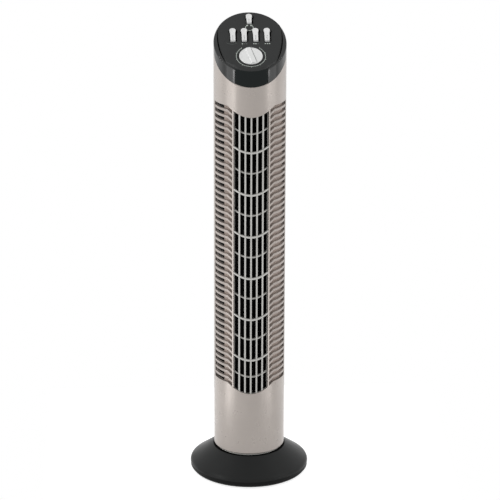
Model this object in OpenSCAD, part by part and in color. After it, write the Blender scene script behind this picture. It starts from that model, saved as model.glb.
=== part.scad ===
// Oscillating tower fan: a round stand, a swivelling head with a crossflow impeller,
// and a sloping control panel with piano keys and a timer knob.
// Millimetres, +Z up, origin on the floor under the swivel axis, front towards -Y.

/* [Head housing] */
// Outside diameter of the round housing
body_d = 116; // [114:1:120]
// Thickness of the housing wall
wall = 2.8; // [2.4:0.2:3.2]
// Height of the axis point of the cap's top plane
cap_z = 733.4; // [630:0.2:840]
// Slope of the cap's top plane
cap_tilt = 30; // [26:0.5:32]
// Thickness of the cap's top wall
cap_t = 5; // [4.6:0.2:6]
// Drop from the cap's axis point to that of the sloping seam under it
seam_drop = 12.4; // [10:0.2:16]
// Slope of that seam
seam_tilt = 39.2; // [36:0.2:41]

/* [Grille and louvres] */
// Height of the lowest slat line at the front
grille_z = 151.1; // [140:0.1:170]
// Pitch of the slats
slat_pitch = 10.12; // [9:0.02:12]
// Least height between the highest slat line and the cap's axis point
grille_room = 104; // [100:1:140]
// Height of one slat
slat_t = 3.8; // [3:0.1:4.4]
// Height of a bright ring of the front grille
ring_t = 2.6; // [2:0.1:3.4]
// Height of a ring set back behind the bars
back_ring_t = 2; // [1.6:0.1:3]
// Slots between two bright rings of the front grille
ring_step = 7; // [5:1:9]
// Number of upright bars in the front grille
bar_count = 5; // [3:1:7]
// Width of an upright bar
bar_w = 2.6; // [2:0.2:4]
// Half angle of the front air outlet
outlet_a = 29; // [26:1:29]
// Angle at which the side louvres start
louvre_a0 = 31.5; // [31.5:0.5:34]
// Angle at which the side louvres end
louvre_a1 = 77; // [70:1:80]
// Rise of the slat lines from the front centre to the sides
dip_h = 16.5; // [8:0.1:18]
// Angle at which that rise ends
dip_a = 40.5; // [36:0.5:42]
// Half angle of the rear air intake
intake_a = 38; // [30:1:38]

/* [Stand] */
// Largest diameter of the stand
base_d = 195.2; // [180:0.2:220]
// Height of the stand's top face
stand_h = 42.5; // [41:0.5:46]
// Wall of the stand's cover
base_wall = 2.8; // [2:0.2:3.4]
// Height that the rubber feet stand proud
foot_proud = 3; // [2:0.5:4]
// Number of rubber feet, and of the screws between them
foot_count = 6; // [4:1:8]
// Height of the tray's rim
tray_h = 9; // [8:0.5:11]
// Thickness of the steel weight
weight_t = 5; // [3:0.5:7]
// Open height between the stand's top and the head's floor
head_gap = 2; // [1.5:0.25:3]

/* [Swing drive] */
// Radius of the swing motor
swing_motor_r = 21; // [18:0.5:22]
// Width of the ring that the head turns on
thrust_w = 5.5; // [4:0.5:7]
// Largest swing to either side
swing_a = 35; // [25:1:36]
// Radius of the roller on the crank pin
roller_r = 2.5; // [2.2:0.1:3]
// Outer radius of the pivot tube
pivot_r = 13; // [12:0.5:13.5]

/* [Impeller and motor] */
// Diameter of the crossflow impeller
impeller_d = 76; // [70:1:78]
// Number of blades
blade_count = 26; // [20:1:32]
// Number of blade bays between the discs
bay_count = 8; // [5:1:9]
// Radius of the motor shaft
shaft_r = 4; // [3:0.5:5]
// Clearance of the motor's lugs from the housing's ledge
motor_room = 4.2; // [3:0.2:8]
// Height of the motor
motor_h = 52; // [48:1:52]

/* [Controls] */
// Height of the panel above the cap at the axis
panel_rise = 2.5; // [2:0.1:3]
// Slope of the panel
panel_tilt = 28.4; // [26:0.2:30]
// Height of a key's top above the panel
key_h = 3.2; // [2.6:0.2:4]
// Travel of a key
key_travel = 2.4; // [1.6:0.2:2.4]
// Spacing of the speed keys
key_pitch = 18.1; // [16:0.1:19]
// Radius of a key's round end
key_r = 5; // [4.4:0.2:5.6]
// Diameter of the timer knob
knob_d = 37; // [30:1:38]
// Height of the knob's disc
knob_h = 2.5; // [2.3:0.1:5]

/* [Fits] */
// Clearance between seated pieces
fit = 0.2; // [0.15:0.05:0.3]
// Radial clearance of a shaft in its bore
run = 0.05; // [0.03:0.01:0.08]

/* [Hidden] */
$fn = 96;

greige = "#b9b0ab";
black = "#2b2c2c";
charcoal = "#3a3b3b";
pearl = "#e9e9e7";
steel = "#9a9da0";
copper = "#b0683a";
bronze = "#a9824e";

eps = 0.01;
r_out = body_d / 2;
r_in = r_out - wall;
far = 4 * body_d;                       // wider than anything that a cutter has to clear
top_far = cap_z + 2 * body_d;           // higher than anything that a cutter has to clear
seam_z = cap_z - seam_drop;
panel_z = cap_z + panel_rise;           // height of the axis point of the panel's top face

// Heights of the stand and of the head's lower end
tray_z0 = foot_proud;
tray_floor_z = tray_z0 + base_wall;
tray_z1 = tray_z0 + tray_h;
floor_z0 = stand_h + head_gap;
floor_t = 3;
floor_z1 = floor_z0 + floor_t;
housing_z0 = floor_z0 + 1;
ledge_t = 2.4;                          // thickness of the housing's inner ledges
ledge_w = 5;
ledge_slope = 1.5;                      // height of the slope under a ledge

// Heights of the air outlet and of the decks at its ends
slot_count = floor((cap_z - grille_room - grille_z) / slat_pitch);
slat_top_z = grille_z + slot_count * slat_pitch;
deck_t = 3;
deck_z0 = grille_z - 14;
deck_z1 = deck_z0 + deck_t;
bridge_z0 = slat_top_z + dip_h + 8;
bridge_z1 = bridge_z0 + deck_t;
bridge_boss_h = 10;

// Radii of the grille's layers, from the outside in
slat_r = r_out - 0.4;                   // outer face of the side slats
seat_r = r_in - fit;                    // outer face of what lies behind the housing wall
rail_r = seat_r - 2;                    // inner face of the rails behind the wall
wall_gap = 0.4;                         // clearance between the rails and the air guides
bar_r = r_out - 1.4;                    // outer face of the upright bars
inner_ring_r = bar_r - 7;               // inner face of the set-back rings
louvre_c = (louvre_a0 + louvre_a1) / 2; // direction that the side louvres face
slot_side = 0.25;                       // clearance of slats in their window, in degrees
rail_a = 1.1;                           // width of the rails beside a window, in degrees
rail_h = 4;                             // overlap of the rails above and below a window
slat_side_gap = 0.4;                    // overlap of a slat's outer part with its inner part

// Angles at which a slat line is evaluated, past the windows' edges at both ends: it curves
// up to dip_a and is level beyond
past = 2.5;
front_angles = [for (i = [-8:8]) (outlet_a + past) * i / 8];
side_angles = [louvre_a0 - past, louvre_a0 + past / 2, (louvre_a0 + dip_a) / 2 + past / 2,
               dip_a + eps, 90];
rear_angles = [180 - 50, 180 + 50];

// Stand
base_r = base_d / 2;
cover_top_r = r_out + 1.5;              // edge of the flat top under the head
cover_round = 7;                        // radius of the cover's outer edge
cover_z0 = tray_z1 + 0.3;
ring_r1 = r_in - 1.2;
ring_r0 = ring_r1 - thrust_w;
ring_seat = 1;                          // depth of the thrust ring's groove
well_r = ring_r0 - 1.5;                 // well in the stand's top that the crank turns in
well_floor_z = stand_h - 9.5;
hub_z0 = well_floor_z - 11;
hub_r = pivot_r + 4;
foot_a = 30;                            // direction of the first foot
foot_r = 8;
foot_pcd_r = base_r - 16;
foot_sunk = 1.6;
boss_r = 5;
boss_a = foot_a + 180 / foot_count;     // direction of the first screw boss, between two feet
boss_pcd_r = foot_pcd_r - 11;
weight_r0 = hub_r + 9;
weight_r1 = base_r - 12;
base_screw_head_r = 3.4;
base_screw_head_h = 1.8;
base_screw_r = 1.8;
base_screw_len = 16;

// Swing drive
crank_end_r = 4;
crank_room = 2.1;                       // clearance of the crank's end from the well's wall
crank_x = (well_r - crank_end_r - crank_room) / (1 + sin(swing_a)); // swivel axis to crank axis
crank_r = crank_x * sin(swing_a);       // crank throw that gives the swing
crank_t = 3.4;
crank_z1 = floor_z0 - 0.8;
crank_z0 = crank_z1 - crank_t;
guide_floor_t = 1.6;
guide_rib = 2.4;
roller_z0 = well_floor_z + guide_floor_t + 0.5;
roller_z1 = crank_z0 - 0.2;
roller_pin_r = roller_r - 1;
relief = 0.12 * crank_x;                // side play that lets the crank turn at a steady ratio
swing_shaft_r = 3;
swing_motor_h = 15;
swing_motor_z0 = floor_z1 + 6;
swing_ear_x = swing_motor_r + 4.2;
floor_screw_r = r_in - 3.4;
floor_screw_a = 45;                     // direction of the first floor screw
pivot_flange_r = crank_x - swing_shaft_r - 4;
capacitor_size = [30, 16, 22];
capacitor_y = r_in - ledge_w - 7.2;     // distance of its outer face from the axis

// Housing fasteners and gland
screw_zs = [housing_z0 + 22, deck_z0 - 14, bridge_z1 + 9];
boss_x = r_in - 9;
front_boss_r = 4;
rear_boss_r = 5.4;
front_screw_len = 11;
screw_seat_y = 16;
screw_hole_r = 2;
screw_head_r = 3.3;
gland_z = housing_z0 + 17;
gland_r = 5.2;
gland_bore_r = 3.7;

// Motor and impeller
impeller_r = impeller_d / 2;
impeller_z0 = deck_z1 + 5;
impeller_z1 = bridge_z0 - 6;
bay_h = (impeller_z1 - impeller_z0) / bay_count;
bay_turn = 180 / blade_count / 2;       // each bay is turned a little against the next
disc_t = 1.8;
end_disc_t = 3;
hub_len = 12;
blade_r0 = impeller_r * 0.72;
blade_t = 1.1;
press = 0.02;                           // clearance of a piece clamped on its shaft
lug_r = 5;
lug_reach = 6;                          // distance of the lugs' screws from the motor
motor_r = r_in - ledge_w - motor_room - lug_r - lug_reach;
lug_pcd_r = motor_r + lug_reach;
grommet_h = 8;
motor_z1 = deck_z0 - grommet_h;
motor_z0 = motor_z1 - motor_h;
motor_mid = (motor_z0 + motor_z1) / 2;
shell_h = 18;
shell_t = 1.6;
core_h = 20;
core_r = motor_r - shell_t - 0.05;
rotor_r = core_r / 2;
air_gap = 0.5;
bush_r = shaft_r + 3;
bush_h = 9;
lug_count = 3;
lug_a = 90;                             // direction of the first lug
lug_t = 2;
motor_screw_r = 1.9;
motor_screw_head_r = 3.4;
motor_screw_head_h = 2;

// Control panel, in the panel's own frame: x to the right, y up the slope, z out of the panel
panel_t = 3.6;
panel_front_w = 26;                     // half width of the panel's overhang over the front plate
panel_edge = 1.6;                       // rim of the cap around the panel
panel_half_w = r_out - 7.5;             // half width of the panel at its widest
panel_wide_y = 10;                      // place of that width, behind the axis
panel_side_r = 120;                     // radius of the panel's bowed sides
nose_in = 0.6;                          // set-back of the overhang from the housing's face
plate_in = 0.8;                         // set-back of the front plate
plate_t = 1.8;
cap_rim_t = 4;                          // height of the cap's rim at the rear
cap_round = 2;
slope_r = r_out / cos(panel_tilt); // place of the panel's front and rear edges on the slope
ledge_in = 2.5;                         // width of the ledge that the panel sits on
skirt_h = 6;
skirt_t = 2;
key_y = 19.3;                           // centre of a speed key's round end
key_len = 28.2;
key_neck = 4.1;                         // half width of a key's stem behind and at its end
key_end = 3.8;
key_corner = 1.2;
key_groove = 11.6;                      // length of the groove at the end of the stem
groove_w = 1.5;
swing_key_y = slope_r - 13.6;
swing_key_len = 20.3;
key_flange = 0.8;                       // lip that keeps a key in its opening
key_flange_t = 1.4;
key_gap = 0.3;                          // clearance around a key
key_way_h = 12;
stem_w = 5;
stem_t = 3;
stem_z = -21;
bank_z1 = -14;
bank_z0 = -28;
bank_y = 7;
bank_w = 20;                            // depth of the bank along the slope
bank_x = 1.5 * key_pitch + stem_w + 2.9;
post_x = bank_x + 5;
post_r = 3;
swing_stem_y = swing_key_y + key_r - swing_key_len + 3;
swing_box = [14, 12, 12];
swing_box_z1 = -12;
swing_post_x = 10.5;
knob_in = 29;                           // distance of the knob's axis from the panel's low edge
knob_y = knob_in - slope_r;
knob_well = 1;                          // depth of the recess that the knob sits in
knob_side = 1.5;                        // width of that recess around the knob
knob_gap = 0.3;
knob_z = knob_gap - knob_well;
knob_dish = 0.5;                        // depth of the knob's dished top
blade_turn = 15;                        // pointer of the knob against the slope
blade_w = 9.2;
blade_h = 1.6;
spindle_r = 3;
timer_r = 19;
timer_depth = 20;

// ---------- shared shapes ----------

// Rise of a slat line above its front centre at an angle from the front.
function dip(a) = abs(a) > dip_a ? dip_h : dip_h * pow(sin(abs(a)) / sin(dip_a), 2);

// Outline of a band of height h about level z, seen along direction c.
function band(z, h, c, angles) = let (n = len(angles) - 1) concat(
    [for (i = [0:n]) [r_out * sin(angles[i] - c), z - h / 2 + dip(angles[i])]],
    [for (i = [n:-1:0]) [r_out * sin(angles[i] - c), z + h / 2 + dip(angles[i])]]);

// Level of slat line k at the front.
function line_z(k) = grille_z + k * slat_pitch;

// Vertical distance that moves a sloping plane by d along its normal.
function lift(d, tilt) = d / cos(tilt);

module disc(r, z0, z1) translate([0, 0, z0]) cylinder(r = r, h = z1 - z0);

module tube(r1, r0, z0, z1) difference() {
    disc(r1, z0, z1);
    disc(r0, z0 - 1, z1 + 1);
}

// Wedge of space about the axis between two angles from the front.
module sector(a0, a1) {
    steps = 4;
    linear_extrude(top_far) polygon(concat([[0, 0]],
        [for (i = [0:steps]) let (a = a0 + (a1 - a0) * i / steps) 2 * r_out * [sin(a), -cos(a)]]));
}

// Prism of an outline in (sideways, z), extruded from the axis outwards along direction c.
module outwards(c) rotate([0, 0, c]) rotate([90, 0, 0]) linear_extrude(body_d) children();

// Half space above or below a plane that slopes down to the front.
module above(z, tilt) translate([0, 0, z]) rotate([tilt, 0, 0])
    translate([-far / 2, -far / 2, 0]) cube([far, far, far / 2]);

module below(z, tilt) translate([0, 0, z]) rotate([tilt, 0, 0])
    translate([-far / 2, -far / 2, -far / 2]) cube([far, far, far / 2]);

// Frame of the control panel's top face.
module on_panel() translate([0, 0, panel_z]) rotate([panel_tilt, 0, 0]) children();

// Space above the panel's underside.
module above_underside() above(panel_z - lift(panel_t, panel_tilt), panel_tilt);

module ring_of(count, r, start = 0)
    for (i = [0:count - 1]) rotate([0, 0, start + 360 * i / count]) translate([r, 0, 0]) children();

module both_sides(x) for (s = [-1, 1]) translate([s * x, 0, 0]) children();

// Round-headed screw standing on its head's top, pointing up.
module screw(head_r, head_h, shank_r, length) {
    cylinder(r = head_r, h = head_h);
    cylinder(r = shank_r, h = length);
}

// ---------- stand ----------

module base_tray() color(black) {
    rim_r = base_r - 0.6;
    difference() {
        rotate_extrude() polygon([
            [0, tray_z0], [rim_r - 2.4, tray_z0], [rim_r, tray_z0 + 3], [rim_r, tray_z1],
            [rim_r - base_wall, tray_z1], [rim_r - base_wall, tray_floor_z], [0, tray_floor_z]]);
        ring_of(foot_count, foot_pcd_r, foot_a) disc(foot_r + fit, 0, tray_z0 + foot_sunk);
        ring_of(foot_count, boss_pcd_r, boss_a) {
            disc(base_screw_head_r + fit, 0, tray_z0 + base_screw_head_h);
            disc(base_screw_r + fit, 0, tray_floor_z + 1);
        }
    }
    tube(weight_r0 - fit, weight_r0 - 3, tray_floor_z - eps, tray_floor_z + weight_t);
}

// Centre of the cover's rounded edge, and the direction square to its sloping side.
cover_c = [base_r - cover_round, cover_z0];
cover_a = let (d = [cover_top_r, stand_h] - cover_c)
    atan2(d[1], d[0]) - acos(cover_round / norm(d));

// Radius of the cover's sloping side, moved inwards by d, at a height.
function side_r(d, z) = cover_c[0] + (cover_round - d - (z - cover_c[1]) * sin(cover_a)) / cos(cover_a);

// Rounded edge of the cover, moved inwards by d, from the rim up.
function edge_path(d) = let (steps = 6)
    [for (i = [0:steps]) let (a = cover_a * i / steps)
        cover_c + (cover_round - d) * [cos(a), sin(a)]];

module base_cover() color(charcoal) {
    under_z = stand_h - base_wall - ring_seat;
    difference() {
        union() {
            rotate_extrude() polygon(concat(
                edge_path(0),
                [[cover_top_r, stand_h], [well_r, stand_h], [well_r, well_floor_z],
                 [pivot_r + run, well_floor_z], [pivot_r + run, hub_z0], [hub_r, hub_z0],
                 [hub_r, well_floor_z - base_wall], [well_r + base_wall, well_floor_z - base_wall],
                 [well_r + base_wall, under_z], [side_r(base_wall, under_z), under_z]],
                reversed(edge_path(base_wall))));
            intersection() {
                ring_of(foot_count, boss_pcd_r, boss_a) disc(boss_r, tray_floor_z + fit, stand_h);
                rotate_extrude() polygon(concat([[0, 0], [base_r - 1, 0]], edge_path(1),
                    [[side_r(1, stand_h), stand_h], [0, stand_h]]));
            }
        }
        tube(ring_r1 + fit, ring_r0 - fit, stand_h - ring_seat, stand_h + 1);
        ring_of(foot_count, boss_pcd_r, boss_a) disc(base_screw_r - fit, 0, tray_z0 + base_screw_len + 2);
    }
}

function reversed(list) = [for (i = [len(list) - 1:-1:0]) list[i]];

module base_weight() color(steel) difference() {
    tube(weight_r1, weight_r0, tray_floor_z, tray_floor_z + weight_t);
    ring_of(foot_count, boss_pcd_r, boss_a)
        disc(boss_r + 1, tray_floor_z - 1, tray_floor_z + weight_t + 1);
}

module rubber_feet() color(black)
    ring_of(foot_count, foot_pcd_r, foot_a)
        rotate_extrude() polygon([[0, 0], [foot_r - 1, 0], [foot_r, 1],
                                  [foot_r, tray_z0 + foot_sunk], [0, tray_z0 + foot_sunk]]);

module base_screws() color(steel)
    ring_of(foot_count, boss_pcd_r, boss_a) translate([0, 0, tray_z0])
        screw(base_screw_head_r, base_screw_head_h, base_screw_r - 2 * fit, base_screw_len);

module thrust_ring() color(pearl)
    tube(ring_r1, ring_r0, stand_h - ring_seat, floor_z0);

// Radial guide that the crank's roller runs in, relieved at both sides.
module swing_guide() color(pearl) {
    half_w = roller_r + relief;
    y1 = well_r - fit;
    intersection() {
        translate([0, 0, well_floor_z]) {
            translate([-half_w - guide_rib, 0, 0]) cube([2 * (half_w + guide_rib), y1, guide_floor_t]);
            both_sides(half_w + guide_rib / 2) translate([-guide_rib / 2, 0, 0])
                cube([guide_rib, y1, roller_z1 - 0.3 - well_floor_z]);
        }
        tube(y1, pivot_r + 1, well_floor_z, stand_h);
    }
}

// ---------- lower end of the head ----------

module head_floor() color(charcoal) difference() {
    union() {
        disc(seat_r, floor_z0, floor_z1);
        translate([0, crank_x, 0]) both_sides(swing_ear_x) disc(3.4, floor_z1 - eps, swing_motor_z0);
    }
    disc(pivot_r + fit, floor_z0 - 1, floor_z1 + 1);
    translate([0, crank_x, 0]) {
        disc(swing_shaft_r + 1, floor_z0 - 1, floor_z1 + 1);
        both_sides(swing_ear_x) disc(1.2, floor_z1 + 0.5, swing_motor_z0 + 1);
    }
    ring_of(4, floor_screw_r, floor_screw_a) {
        disc(1.4, floor_z0 - 1, floor_z1 + 1);
        disc(2.6, floor_z0 - 1, floor_z0 + 1.6);
    }
}

module floor_screws() color(steel)
    ring_of(4, floor_screw_r, floor_screw_a) translate([0, 0, floor_z0 + fit]) screw(2.4, 1.4, 1.2, 4.8);

module pivot_tube() color(charcoal) difference() {
    union() {
        disc(pivot_flange_r, floor_z1, floor_z1 + ledge_t);
        disc(pivot_r, hub_z0 - 5, floor_z1 + 1);
    }
    disc(pivot_r - 3, hub_z0 - 6, floor_z1 + ledge_t + 1);
    tube(pivot_r + 1, pivot_r - 1, hub_z0 - 3.4, hub_z0 - 1.8);
}

module pivot_washer() color(pearl) tube(hub_r, pivot_r + fit, hub_z0 - 1.7, hub_z0 - 0.1);

module retaining_ring() color(steel) difference() {
    tube(hub_r - 1, pivot_r - 1 + fit, hub_z0 - 3.3, hub_z0 - 1.9);
    translate([-1.5, 0, hub_z0 - 4]) cube([3, hub_r, 3]);
}

// ---------- housing ----------

// Full round shell with its inner ledges, cut off along the sloping seam.
// It is turned so that its profile starts away from the plane that splits it in halves.
module housing_shell() {
    edge = 1.6;
    difference() {
        rotate([0, 0, 90]) rotate_extrude() polygon([
            [r_in, housing_z0], [r_out - edge, housing_z0],
            [r_out - edge * 0.3, housing_z0 + edge * 0.3], [r_out, housing_z0 + edge],
            [r_out, cap_z + r_out], [r_in, cap_z + r_out],
            [r_in, bridge_z0], [r_in - ledge_w, bridge_z0], [r_in - ledge_w, bridge_z0 - ledge_t],
            [r_in, bridge_z0 - ledge_t - ledge_slope],
            [r_in, deck_z0], [r_in - ledge_w, deck_z0], [r_in - ledge_w, deck_z0 - ledge_t],
            [r_in, deck_z0 - ledge_t - ledge_slope],
            [r_in, floor_z1 + ledge_t], [r_in - ledge_w, floor_z1 + ledge_t],
            [r_in - ledge_w, floor_z1], [r_in, floor_z1]]);
        above(seam_z - fit, seam_tilt);
        above(cap_z - lift(cap_rim_t + fit, cap_tilt), cap_tilt);
        ring_of(4, floor_screw_r, floor_screw_a) disc(1.3, floor_z1 - 1, floor_z1 + ledge_t + 1);
    }
}

// One of the housing's air windows.
module window(c, a0, a1, angles) intersection() {
    outwards(c) polygon(band((line_z(0) + line_z(slot_count)) / 2,
                             slot_count * slat_pitch - slat_t, c, angles));
    sector(a0, a1);
}

module half_space(y0, y1) translate([-far / 2, y0, 0]) cube([far, y1 - y0, top_far]);

// Cylinders along Y at the housing's screws.
module at_screws(r, y0, y1)
    for (s = [-1, 1], z = screw_zs)
        translate([s * boss_x, y0, z]) rotate([-90, 0, 0]) cylinder(r = r, h = y1 - y0);

lip_r = r_in + wall * 0.45;             // outer face of the front housing's locating lip

module front_housing() color(greige) difference() {
    union() {
        intersection() {
            housing_shell();
            half_space(-far / 2, 0);
        }
        intersection() {
            housing_shell();
            half_space(-1, 2);
            disc(lip_r, 0, top_far);
        }
        intersection() {
            at_screws(front_boss_r, -far / 8, 0);
            disc(r_in + 1, 0, top_far);
            half_space(-far / 8, 0);
        }
    }
    window(0, -outlet_a, outlet_a, front_angles);
    window(louvre_c, louvre_a0, louvre_a1, side_angles);
    mirror([1, 0, 0]) window(louvre_c, louvre_a0, louvre_a1, side_angles);
    at_screws(screw_hole_r - 0.3, -front_screw_len - 1, 1);
}

module rear_housing() color(greige) difference() {
    union() {
        difference() {
            intersection() {
                housing_shell();
                half_space(0, far / 2);
            }
            intersection() {
                half_space(-1, 2.2);
                disc(lip_r + fit, 0, top_far);
            }
        }
        intersection() {
            at_screws(rear_boss_r, 0, far / 8);
            disc(r_in + 1, 0, top_far);
            half_space(0, far / 8);
        }
    }
    window(180, 180 - intake_a, 180 + intake_a, rear_angles);
    at_screws(screw_hole_r, -1, far / 4);
    at_screws(screw_head_r + fit, screw_seat_y, far / 4);
    translate([0, r_in - 2, gland_z]) rotate([-90, 0, 0]) cylinder(r = gland_r + fit, h = wall + 4);
}

module housing_screws() color(steel)
    for (s = [-1, 1], z = screw_zs)
        translate([s * boss_x, screw_seat_y + 2.2, z]) rotate([90, 0, 0])
            screw(screw_head_r, 2.2, screw_hole_r - 0.4, screw_seat_y + 2.2 + front_screw_len);

module cord_gland() color(black) difference() {
    translate([0, 0, gland_z]) rotate([-90, 0, 0]) {
        translate([0, 0, r_in - 3]) cylinder(r = gland_r, h = wall + 4);
        translate([0, 0, r_in + 1]) cylinder(r = gland_r + 2.4, h = wall + 1.4);
    }
    difference() {
        disc(r_out + eps, 0, top_far);
        translate([0, 0, gland_z]) rotate([-90, 0, 0]) cylinder(r = gland_r, h = body_d);
    }
    translate([0, 0, gland_z]) rotate([-90, 0, 0]) cylinder(r = gland_bore_r, h = body_d);
}

// ---------- grilles ----------

// Bands at each of the given slat lines.
module lines(c, angles, ks, h) outwards(c) for (k = ks) polygon(band(line_z(k), h, c, angles));

// Rails behind the housing wall above, below and beside a window.
module rails(c, a0, a1, angles) {
    mid = (line_z(0) + line_z(slot_count)) / 2;
    open_h = slot_count * slat_pitch - slat_t;
    intersection() {
        tube(seat_r, rail_r, 0, top_far);
        difference() {
            intersection() {
                outwards(c) polygon(band(mid, open_h + 2 * rail_h, c, angles));
                sector(a0 - rail_a, a1 + rail_a);
            }
            intersection() {
                outwards(c) polygon(band(mid, open_h, c, angles));
                sector(a0, a1);
            }
        }
    }
}

// Slats that stand in a window and run into the rails at both ends.
module slats(c, a0, a1, angles) {
    intersection() {
        lines(c, angles, [1:slot_count - 1], slat_t);
        union() {
            intersection() {
                tube(slat_r, seat_r - slat_side_gap, 0, top_far);
                sector(a0 + slot_side, a1 - slot_side);
            }
            intersection() {
                tube(seat_r, rail_r, 0, top_far);
                sector(a0 - rail_a / 2, a1 + rail_a / 2);
            }
        }
    }
}

module louvre_panel_right() color(greige) {
    rails(louvre_c, louvre_a0, louvre_a1, side_angles);
    slats(louvre_c, louvre_a0, louvre_a1, side_angles);
}

module louvre_panel_left() mirror([1, 0, 0]) louvre_panel_right();

module rear_grille() color(greige) {
    rails(180, 180 - intake_a, 180 + intake_a, rear_angles);
    slats(180, 180 - intake_a, 180 + intake_a, rear_angles);
    intersection() {
        tube(seat_r - 0.5, rail_r - 1.5, 0, top_far);
        outwards(180) polygon(band((line_z(0) + line_z(slot_count)) / 2,
                                   slot_count * slat_pitch, 180, rear_angles));
        half_space(0, far);
        both_sides(r_out * sin(intake_a) / 3) translate([-bar_w / 2, 0, 0]) cube([bar_w, far, top_far]);
    }
}

// Upright bars, bright rings flush with the housing and dim rings set back behind the bars.
module front_grille() color(greige) {
    ring_ks = [ring_step - 1:ring_step:slot_count - 2];
    back_ks = concat([(ring_step - 1) / 2], [for (k = ring_ks) (k + min(k + ring_step, slot_count)) / 2]);
    bar_pitch = 2 * r_out * sin(outlet_a) / (bar_count + 1);
    mid = (line_z(0) + line_z(slot_count)) / 2;
    open_h = slot_count * slat_pitch - slat_t;
    rails(0, -outlet_a, outlet_a, front_angles);
    intersection() {
        lines(0, front_angles, ring_ks, ring_t);
        sector(-outlet_a + slot_side, outlet_a - slot_side);
        tube(r_out, seat_r - 1, 0, top_far);
    }
    intersection() {
        lines(0, front_angles, back_ks, back_ring_t);
        sector(-outlet_a - rail_a, outlet_a + rail_a);
        tube(rail_r + 0.6, inner_ring_r, 0, top_far);
    }
    intersection() {
        for (i = [0:bar_count - 1])
            translate([(i - (bar_count - 1) / 2) * bar_pitch - bar_w / 2, -far / 2, 0])
                cube([bar_w, far / 2, top_far]);
        union() {
            intersection() {
                tube(bar_r, rail_r, 0, top_far);
                outwards(0) polygon(band(mid, open_h - 2 * fit, 0, front_angles));
            }
            intersection() {
                tube(seat_r, rail_r, 0, top_far);
                outwards(0) polygon(band(mid, open_h + rail_h, 0, front_angles));
            }
        }
    }
}

// ---------- air guides and decks ----------

function at_angle(a, r) = r * [sin(a), -cos(a)];

// Clears the ledge under the bearing bridge from an air guide.
module clear_of_ledge() difference() {
    children();
    tube(r_out, r_in - ledge_w - fit, bridge_z0 - ledge_t - ledge_slope - fit, bridge_z0 + 1);
}

// Spiral wall from the outlet's right edge round to the intake.
module volute_wall() color(greige) clear_of_ledge() {
    a0 = outlet_a + 1.4;
    a1 = 180 - intake_a - 4;
    r0 = rail_r - wall_gap;
    r1 = impeller_r + 4;
    t = 1.6;
    steps = 20;
    path = [for (i = [0:steps]) [a0 + (a1 - a0) * i / steps, r0 + (r1 - r0) * i / steps]];
    translate([0, 0, deck_z1]) linear_extrude(bridge_z0 - deck_z1) polygon(concat(
        [for (p = path) at_angle(p[0], p[1])],
        [for (p = reversed(path)) at_angle(p[0], p[1] - t)]));
}

// Tongue from the outlet's left edge towards the impeller, with a round nose.
module stabiliser_wall() color(greige) clear_of_ledge() {
    r0 = rail_r - wall_gap;
    nose_r = impeller_r + 2.6;
    outline = [
        [outlet_a + 1.4, r0], [outlet_a + 8, r0 - 0.2], [outlet_a + 14.5, r0 - 0.8],
        [outlet_a + 17, r0 - 4], [outlet_a + 16.6, nose_r + 0.8], [outlet_a + 15.4, nose_r],
        [outlet_a + 14, nose_r + 0.8], [outlet_a + 14.2, r0 - 5], [outlet_a + 12.6, r0 - 2.6],
        [outlet_a + 7, r0 - 1.8], [outlet_a + 1.4, r0 - 1.6]];
    translate([0, 0, deck_z1]) linear_extrude(bridge_z0 - deck_z1)
        polygon([for (p = outline) at_angle(-p[0], p[1])]);
}

module motor_deck() color(charcoal) difference() {
    disc(seat_r, deck_z0, deck_z1);
    disc(bush_r + 4, deck_z0 - 1, deck_z1 + 1);
    ring_of(lug_count, lug_pcd_r, lug_a) disc(motor_screw_r + fit, deck_z0 - 1, deck_z1 + 1);
}

module bearing_bridge() color(charcoal) {
    rubber_r = bush_r + 5;
    difference() {
        union() {
            disc(seat_r, bridge_z0, bridge_z1);
            disc(rubber_r + 3, bridge_z0, bridge_z0 + bridge_boss_h);
        }
        disc(rubber_r + press, bridge_z0 - 1, bridge_z0 + bridge_boss_h + 1);
        ring_of(6, (seat_r + rubber_r) / 2) disc(6, bridge_z0 - 1, bridge_z1 + 1);
    }
}

module bush_rubber() color(black)
    tube(bush_r + 5, bush_r + press, bridge_z0, bridge_z0 + bridge_boss_h);

module upper_bush() color(bronze)
    tube(bush_r, shaft_r + run, bridge_z0 - 0.6, bridge_z0 + bridge_boss_h + 0.6);

// ---------- impeller and motor ----------

// Point of a curved blade: t runs from the inner edge to the outer one, side is -1 or 1.
function blade_point(t, side) = let (
    r = blade_r0 + (impeller_r - 0.4 - blade_r0) * t,
    a = 20 * (1 - t) * (1 - t),
    half = side * blade_t / 2 * (0.5 + 2 * t * (1 - t)) * 180 / (PI * r))
    r * [cos(a + half), sin(a + half)];

module impeller_blades() for (i = [0:blade_count - 1]) rotate(360 * i / blade_count)
    polygon(concat([for (t = [0:0.34:1.02]) blade_point(min(t, 1), -1)],
                   [for (t = [1.02:-0.34:-0.01]) blade_point(max(min(t, 1), 0), 1)]));

module impeller() color(black) {
    for (b = [0:bay_count - 1]) translate([0, 0, impeller_z0 + b * bay_h]) {
        rotate(b * bay_turn) linear_extrude(bay_h) impeller_blades();
        if (b > 0) tube(impeller_r, blade_r0 - 3, -disc_t / 2, disc_t / 2);
    }
    difference() {
        union() {
            disc(impeller_r, impeller_z0 - eps, impeller_z0 + end_disc_t);
            disc(shaft_r + 5, impeller_z0, impeller_z0 + hub_len);
            disc(impeller_r, impeller_z1 - end_disc_t, impeller_z1 + eps);
            disc(shaft_r + 5, impeller_z1 - hub_len, impeller_z1);
        }
        disc(shaft_r + press, impeller_z0 - 1, impeller_z1 + 1);
    }
}

module motor_shaft() color(steel) disc(shaft_r, motor_z0 - 2, impeller_z0 + hub_len);

module upper_stub_shaft() color(steel)
    disc(shaft_r, impeller_z1 - hub_len, bridge_z0 + bridge_boss_h + 2);

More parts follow.
